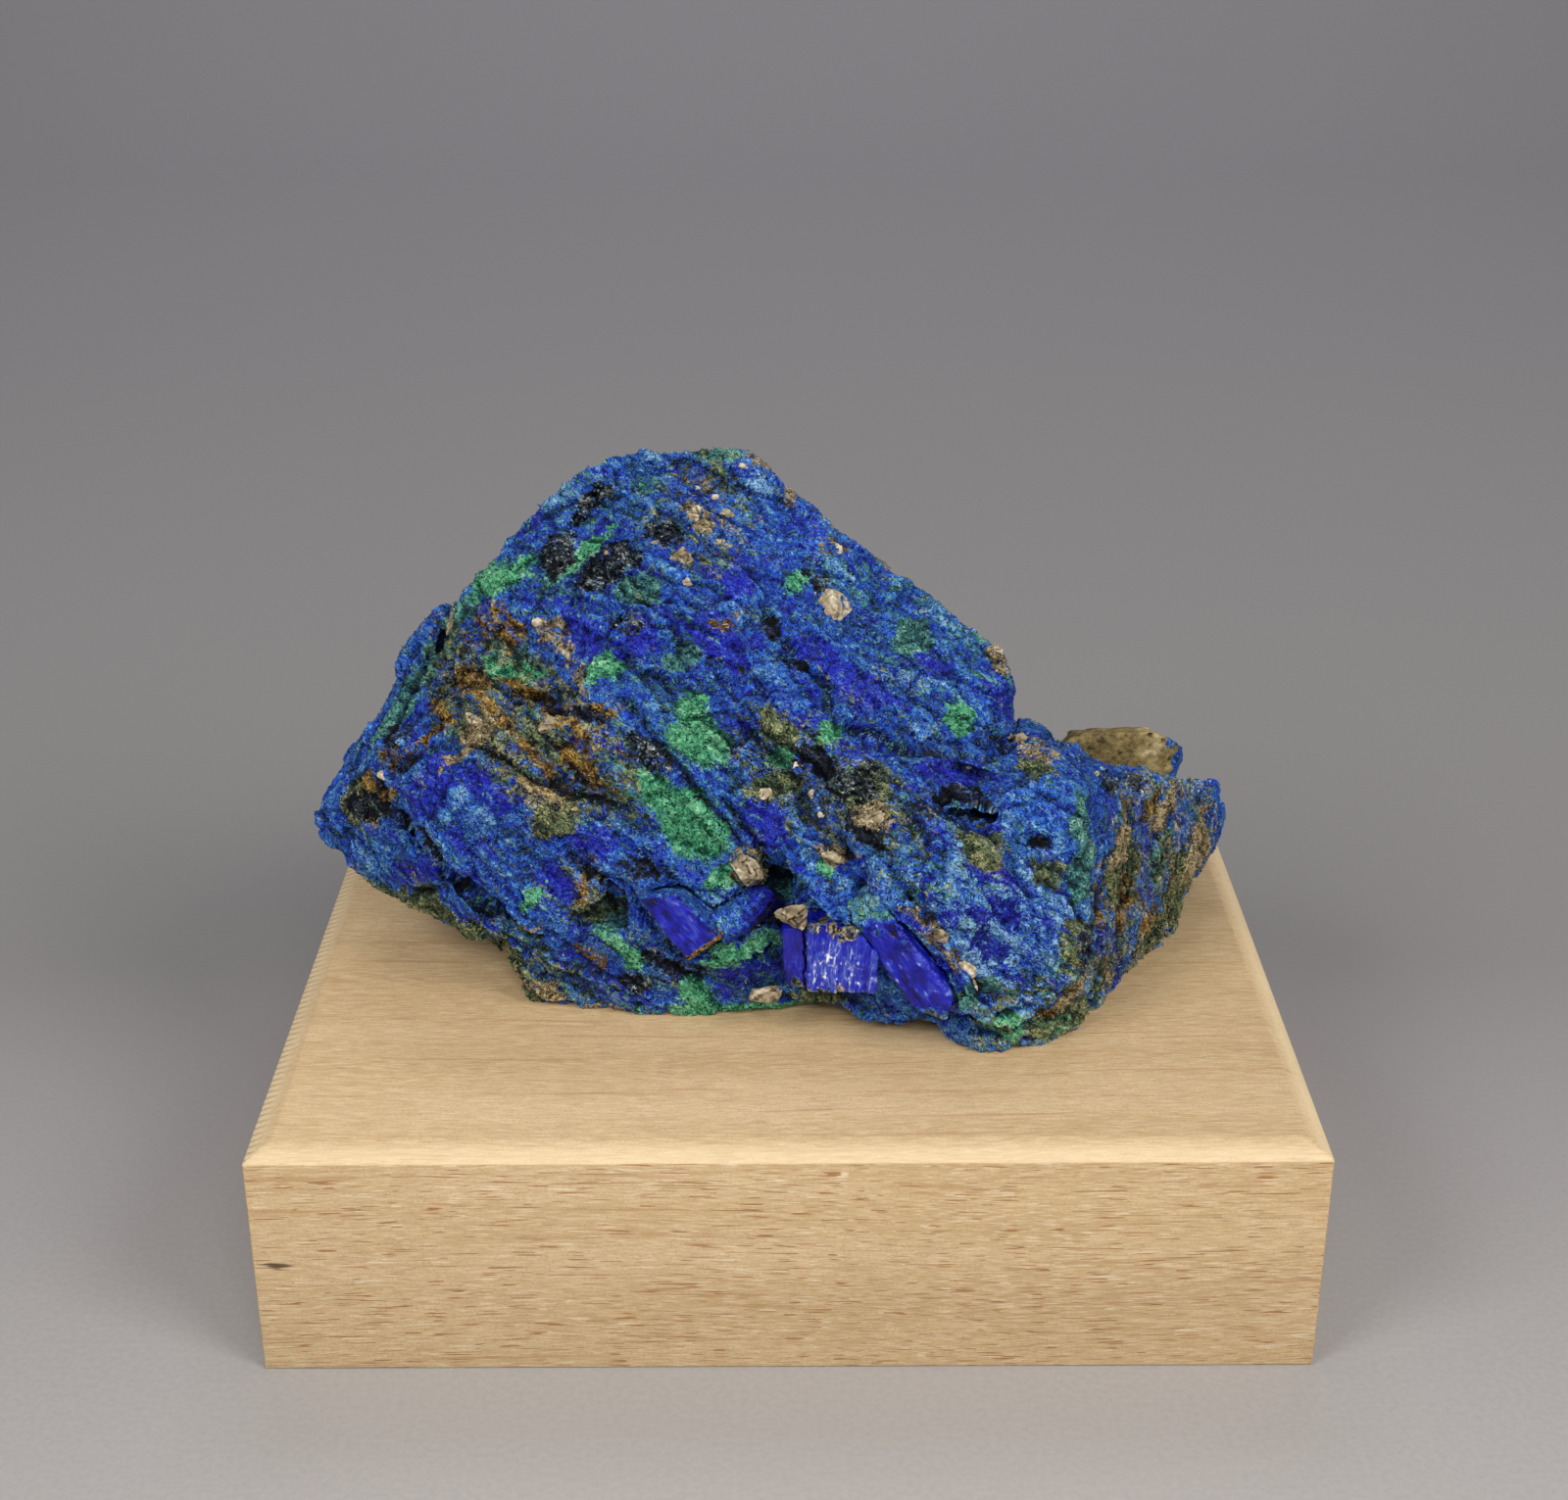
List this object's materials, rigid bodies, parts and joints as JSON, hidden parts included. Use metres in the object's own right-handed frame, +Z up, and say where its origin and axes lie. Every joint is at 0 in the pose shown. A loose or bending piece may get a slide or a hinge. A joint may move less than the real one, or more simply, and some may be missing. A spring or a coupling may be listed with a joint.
{
  "type": "chalcostibite specimen crusted with azurite and malachite, on a wooden display block",
  "caption": "Slanting lump of chalcostibite ore crusted with blue azurite and green malachite, with tan host rock, resting on a chamfered pale wooden display block.",
  "frame": {"origin": "middle of the display block's underside", "axes": "+Z up, +X to the right along the block's long side as seen from the show side, -Y towards the viewer"},
  "size_m": [0.102, 0.076, 0.078],
  "materials": {
    "block_wood": "sanded pale hardwood, bare or thinly oiled",
    "ore_crust": "sugary crust of azurite with malachite and limonite patches, dull",
    "host_rock": "broken tan host rock, dull and gritty",
    "glossy_azurite": "glassy crystal face with fine upright striations",
    "deep_azurite": "deep blue crystal faces, half glossy"
  },
  "bodies": {
    "root": {"display_block": "block_wood", "ore_mass": "ore_crust", "matrix_lump": "host_rock", "striated_crystal": "glossy_azurite", "long_crystal": "deep_azurite", "blade_crystal": "deep_azurite", "wedge_crystal": "ore_crust"}
  },
  "joints": []
}
